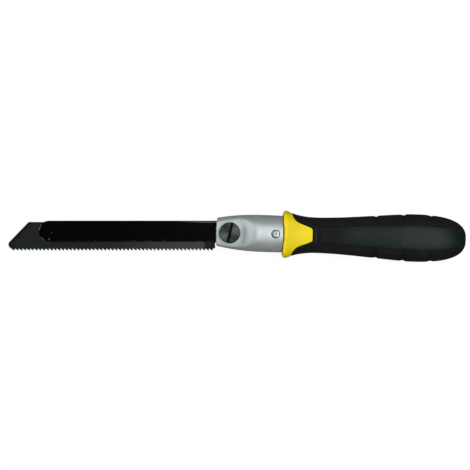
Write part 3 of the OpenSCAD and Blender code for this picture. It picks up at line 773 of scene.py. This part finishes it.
# Painted light: the blade's colour grows lighter towards the heel, where the light falls on it more strongly.
oxide_skin_and_light = (oxide_along.between(*heel_light_fade) * 0.75 + 0.25 * oxide_cloud).tint(oxide_dark, srgb(*oxide_heel_lit))
slant_gap = math.sin(tip_slant) * (oxide_along - slant_x) - math.cos(tip_slant) * (oxide_up - slant_y)
oxide_ground = 1 - slant_gap.between(*burn_fade)
oxide_streak = (1 - oxide_along.between(*streak_fade)) * oxide_brush.between(0.35, 0.6) * 0.7
oxide_speck = wire.noise(wire.place(), 1500, 3).between(0.4, 0.6)
# Painted shadow: the blade is darkened, with a faint mottle, over its last few millimetres before the head, where the
# head shades it.
oxide_shadow_mask = oxide_along.between(*head_shadow_fade) * (0.7 + 0.3 * oxide_speck)
oxide_worked = oxide_ground.most(oxide_streak).tint(oxide_skin_and_light, srgb(*oxide_burn))
dress(
    blade, oxide, "blade", "blade_steel", "blade",
    Base_Color=oxide_shadow_mask.tint(oxide_worked, srgb(*oxide_head_shadow)),
    Roughness=0.4 + 0.2 * oxide_cloud + 0.08 * oxide_brush,
    Normal=wire.bump(oxide_brush, 0.00002))

# Blade support: steel sheet folded over the blade's back, with a half-round nose and gloss black paint. It slides in
# the head's slot, so that it can stiffen a longer or a shorter length of blade.
support_reach, support_tail, support_sheet, channel_half = 118.5, 20.9, 0.8, 0.65
nose_roll = (
    (-2, 0.85), (-1.45, 0.85), (-1.43, 0.66), (-1.37, 0.46),
    (-1.27, 0.28), (-1.12, 0.13), (-0.95, 0.04), (-0.75, 0))
crimp_r, crimp_sink, crimp_spots = 1.2, 0.14, ((-109.5, 0.3, 1), (-109.5, 0.3, -1), (-111.2, -4.0, 1))
chip_fade = support_low + 0.2, support_low + 1.5
top_highlight_fade, top_highlight_gain, top_highlight_span = (support_top - 0.1, support_top + 0.3), 1.5, (-40, -4)
gloss_black, gloss_bare_and_highlight = (2, 2, 3), (80, 81, 84)
support_profile = [(support_low, support_half)]
support_fold, channel_fold = support_top - support_half, support_top - support_sheet - channel_half
for turn in np.radians(np.arange(0, 181, 15)):
    support_profile.append((support_fold + support_half * math.sin(turn), support_half * math.cos(turn)))
support_profile += [(support_low, -support_half), (support_low, -channel_half)]
for turn in np.radians(np.arange(180, -1, -20)):
    support_profile.append((channel_fold + channel_half * math.sin(turn), channel_half * math.cos(turn)))
support_profile.append((support_low, channel_half))
folded = np.array(support_profile)
support = lofted("blade_support_painted", [
    np.column_stack((np.full(len(folded), x), folded)) for x in (-support_reach - 1, support_tail)], blade_line)
nose_r = (support_top - support_low) / 2
nose_x, nose_y = nose_r - support_reach, (support_top + support_low) / 2
nose = []
for z, inset in nose_roll:
    outline = [(support_tail + 1, support_top + 1, z), (nose_x, support_top + 1, z)]
    for turn in np.radians(np.arange(90, 271, 2.5)):
        reach = nose_r - inset
        outline.append((nose_x + reach * math.cos(turn), nose_y + reach * math.sin(turn), z))
    nose.append(np.array(outline + [(nose_x, support_low - 1, z), (support_tail + 1, support_low - 1, z)]))
nose += [row * (1, 1, -1) for row in nose[::-1]]
carve(support, lofted("nose", nose, blade_line), "INTERSECT")
for x, y, side in crimp_spots:
    crimp = [(0, 0)]
    for turn in np.radians(np.arange(20, 161, 20)):
        crimp.append((crimp_r * math.sin(turn), crimp_r - crimp_r * math.cos(turn)))
    crimp_place = blade_line @ Matrix.Translation(Vector((x, y, side * (support_half - crimp_sink))) * mm)
    flip = Matrix.Rotation(0 if side > 0 else math.pi, 4, "X")
    carve(support, turned("crimp", crimp + [(0, 2 * crimp_r)], crimp_place @ flip, 24))
ease(support, width=0.36, angle=50, segments=4)

gloss, wire = finish("gloss_black_paint", {"Specular IOR Level": 0.5})
gloss_cloud = wire.noise(wire.place(), 90, 4)
gloss_peel = wire.noise(wire.place(), 700, 2)
gloss_scuff = wire.noise(wire.place((0.4, 1, 1)), 800, 5, 0.7).between(0.54, 0.74)
gloss_up, gloss_along = wire.along(1), wire.along(0)
gloss_chipped = gloss_scuff * (0.03 + 0.8 * (1 - gloss_up.between(*chip_fade)))
# Painted highlight: a pale band along the top of the fold, widening towards the head, stands in for the lamps'
# reflection there; the pale chips along the lower edge are real wear.
gloss_top_highlight = (gloss_up + top_highlight_gain * gloss_along.between(*top_highlight_span)).between(*top_highlight_fade)
dress(
    support, gloss, "support", "black_paint", "blade_support",
    Base_Color=gloss_chipped.most(0.9 * gloss_top_highlight).tint(srgb(*gloss_black), srgb(*gloss_bare_and_highlight)),
    Roughness=0.09 + 0.06 * gloss_cloud + 0.25 * gloss_chipped,
    Normal=wire.bump(gloss_peel, 0.00001))

# Clamp pad: a plain steel disc on the clamp screw's tip, which presses the support and the blade against the slot's
# far wall without turning on them.
pad_grey, pad_bright = (120, 122, 124), (150, 152, 153)
pad_steel, wire = finish("pad_steel", {"Metallic": 1.0})
pad_cloud = wire.noise(wire.place(), 600, 3)
dress(
    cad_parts["clamp_pad"], pad_steel, "clamp_pad", "pad_steel",
    Base_Color=pad_cloud.tint(srgb(*pad_grey), srgb(*pad_bright)),
    Roughness=0.32 + 0.2 * pad_cloud)

# Clamp screw: a turned steel screw with a black oxide skin. A coin fits the slot in its wide flat head, whose face
# still shows the marks of the lathe.
clamp_tip_z, clamp_tip_r, clamp_tip_chamfer = 2.25, 2, 0.2
clamp_thread_z, clamp_thread_r, clamp_thread_chamfer = 3.15, 4, 0.4
clamp_head_r, clamp_head_z, clamp_head_t, clamp_round, clamp_under = 6.95, 8.2, 2.6, 0.55, 0.25
coin_w, coin_depth, coin_lean, coin_reach = 1.7, 1.3, math.radians(-13.5), 9
sheen_even, sheen_cross, sheen_core = 0.34, 1.88, 0.2
screw_dark, screw_pale_and_sheen, screw_slot_shade = (18, 24, 23), (76, 85, 83), (1, 2, 2)
clamp_top = clamp_head_z + clamp_head_t
clamp_profile = [(0, clamp_tip_z), (clamp_tip_r - clamp_tip_chamfer, clamp_tip_z)]
clamp_profile += [(clamp_tip_r, clamp_tip_z + clamp_tip_chamfer), (clamp_tip_r, clamp_thread_z)]
clamp_profile += [(clamp_thread_r - clamp_thread_chamfer, clamp_thread_z)]
clamp_profile += [(clamp_thread_r, clamp_thread_z + clamp_thread_chamfer), (clamp_thread_r, clamp_head_z)]
clamp_profile += [(clamp_head_r - clamp_under, clamp_head_z), (clamp_head_r, clamp_head_z + clamp_under)]
for turn in np.radians(np.arange(0, 91, 15)):
    clamp_profile.append((
        clamp_head_r - clamp_round * (1 - math.cos(turn)), clamp_top - clamp_round * (1 - math.sin(turn))))
clamp = turned("clamp_screw_oxide", clamp_profile, clamp_axis, 128)
coin = np.array(((1, 1), (-1, 1), (-1, -1), (1, -1))) * (coin_w / 2, coin_reach)
carve(clamp, lofted("coin", [
    np.column_stack((coin, np.full(4, z))) for z in (clamp_top - coin_depth, clamp_top + 1)],
    clamp_axis @ Matrix.Rotation(coin_lean, 4, "Z")))
ease(clamp, width=0.12, angle=50)
# Painted shade: the coin slot's walls and floor are coloured almost black.
mark(clamp, "sunk", clamp_axis, lambda x, y, z: (
    (np.abs(x * math.cos(coin_lean) + y * math.sin(coin_lean)) < coin_w / 2 + 0.02)
    & (z < clamp_top - 0.2) & (z > clamp_head_z + 0.4)))
screw_oxide, wire = finish("screw_oxide", {"Metallic": 0.7, "Specular IOR Level": 0.4})
screw_place = wire.place()
screw_cloud = wire.noise(screw_place, 260, 4, 0.65)
screw_lathe = wire.node(
    "ShaderNodeTexWave",
    {"wave_type": "RINGS", "rings_direction": "Z"},
    {"Vector": screw_place, "Scale": 1300, "Distortion": 1.5, "Detail": 2})
screw_over, screw_up = wire.along(0), wire.along(1)
# Painted sheen: a bow-tie of lighter and darker quarters across the head's face, as its turned face would reflect the
# lamps.
screw_sheen = 0.5 + 0.5 * wire.math(
    "DIVIDE",
    sheen_even * (screw_over * screw_over - screw_up * screw_up) + sheen_cross * screw_over * screw_up,
    sheen_core + screw_over * screw_over + screw_up * screw_up)
screw_sheen_and_tone = 0.55 * screw_sheen + 0.45 * screw_cloud.between(0.4, 0.72)
screw_face = screw_sheen_and_tone.tint(srgb(*screw_dark), srgb(*screw_pale_and_sheen))
dress(
    clamp, screw_oxide, "clamp_screw", "black_oxide", "clamp_screw",
    Base_Color=wire.marked("sunk").tint(screw_face, srgb(*screw_slot_shade)),
    Roughness=0.36 + 0.14 * screw_cloud + 0.3 * wire.marked("sunk"),
    Normal=wire.bump(screw_lathe + screw_cloud, 0.000012))

# Photographer's table: a white sheet under the saw, which shows white in the picture and keeps the saw's soft shadow,
# in a dim room that is a little lighter round the horizon than overhead, where the camera hangs.
sheet_half, sheet_z = 3, -0.0002
paper_tone, paper_glow, mirror_share = 0.1, 0.93, 0.06
room_overhead, room_horizon, room_fade = 0.025, 0.12, 0.3
sheet_mesh = bpy.data.meshes.new("white_sheet")
sheet_corners = [(x * sheet_half, y * sheet_half, sheet_z) for x, y in ((-1, -1), (1, -1), (1, 1), (-1, 1))]
sheet_mesh.from_pydata(sheet_corners, [], [(0, 1, 2, 3)])
sheet = bpy.data.objects.new("white_sheet", sheet_mesh)
bpy.context.scene.collection.objects.link(sheet)
paper, wire = finish("white_paper", {"Roughness": 0.9, "Specular IOR Level": 0.1})
sheet_mesh.materials.append(paper)
paper_shader = paper.node_tree.nodes["Principled BSDF"]
paper_shader.inputs["Base Color"].default_value = (paper_tone, paper_tone, paper_tone, 1)
mirrored = wire.node("ShaderNodeLightPath", None, None, "Is Glossy Ray").most(
    wire.node("ShaderNodeLightPath", None, None, "Is Transmission Ray"))
seen = wire.node("ShaderNodeLightPath", None, None, "Is Camera Ray") + mirror_share * mirrored
lit_paper = wire.node("ShaderNodeEmission", None, {"Strength": paper_glow})
plain_paper = Wire(wire.tree, paper_shader.outputs[0])
white_look = wire.node("ShaderNodeAddShader", None, {0: lit_paper, 1: plain_paper})
paper_look = wire.node("ShaderNodeMixShader", None, {0: seen, 1: plain_paper, 2: white_look})
paper.node_tree.links.new(paper_look.socket, paper.node_tree.nodes["Material Output"].inputs["Surface"])

room = bpy.data.worlds.new("studio_room")
bpy.context.scene.world = room
room.use_nodes = True
wire = Wire(room.node_tree)
room_height = wire.node(
    "ShaderNodeSeparateXYZ", None, {0: wire.node("ShaderNodeTexCoord", None, None, "Generated")}, 2)
room_tone = (1 - room_height.between(0.0, room_fade)).tint(
    (room_overhead, room_overhead, room_overhead, 1), (room_horizon, room_horizon, room_horizon, 1))
room_look = wire.node("ShaderNodeLightPath", None, None, "Is Camera Ray").tint(room_tone, (1, 1, 1, 1))
room_light = room.node_tree.nodes["Background"]
room.node_tree.links.new(room_look.socket, room_light.inputs["Color"])
room_light.inputs["Strength"].default_value = 1.0

# Lamps: one large soft box over the handle's end, a little behind the saw, gives most of the light. Two smaller ones
# low on the left light the head's ramp, the nose of the support and the head's lower flank.
lamp_aim = Vector((0, 0, 0.01))
for name, place, size, power in (
        ("soft_box", (0.36, 0.05, 1.0), (1.1, 0.5), 11.0),
        ("left_fill", (-0.93, 0.3, 0.33), (0.5, 0.4), 5.0),
        ("low_fill", (-0.75, -0.6, 0.16), (0.3, 0.3), 1.8)):
    lamp = bpy.data.lights.new(name, "AREA")
    lamp.shape, lamp.size, lamp.size_y, lamp.energy = "RECTANGLE", *size, power
    stand = bpy.data.objects.new(name, lamp)
    stand.location = place
    stand.rotation_euler = (lamp_aim - Vector(place)).to_track_quat("-Z", "Y").to_euler()
    bpy.context.scene.collection.objects.link(stand)

# Camera: straight above the saw, far enough back that it draws it almost without perspective. A pixel of its picture
# is two thirds of a millimetre at the height of the blade.
picture_pixels, pixels_per_mm, lens, sensor = 470, 1.5, 135, 36
camera_x, camera_y = -1.38, 0.77
picture_width = picture_pixels / pixels_per_mm * mm
camera_data = bpy.data.cameras.new("camera")
camera_data.lens, camera_data.sensor_width = lens, sensor
camera = bpy.data.objects.new("camera", camera_data)
camera.location = (camera_x * mm, camera_y * mm, clamp_point.z + picture_width * lens / sensor)
bpy.context.scene.collection.objects.link(camera)
bpy.context.scene.camera = camera
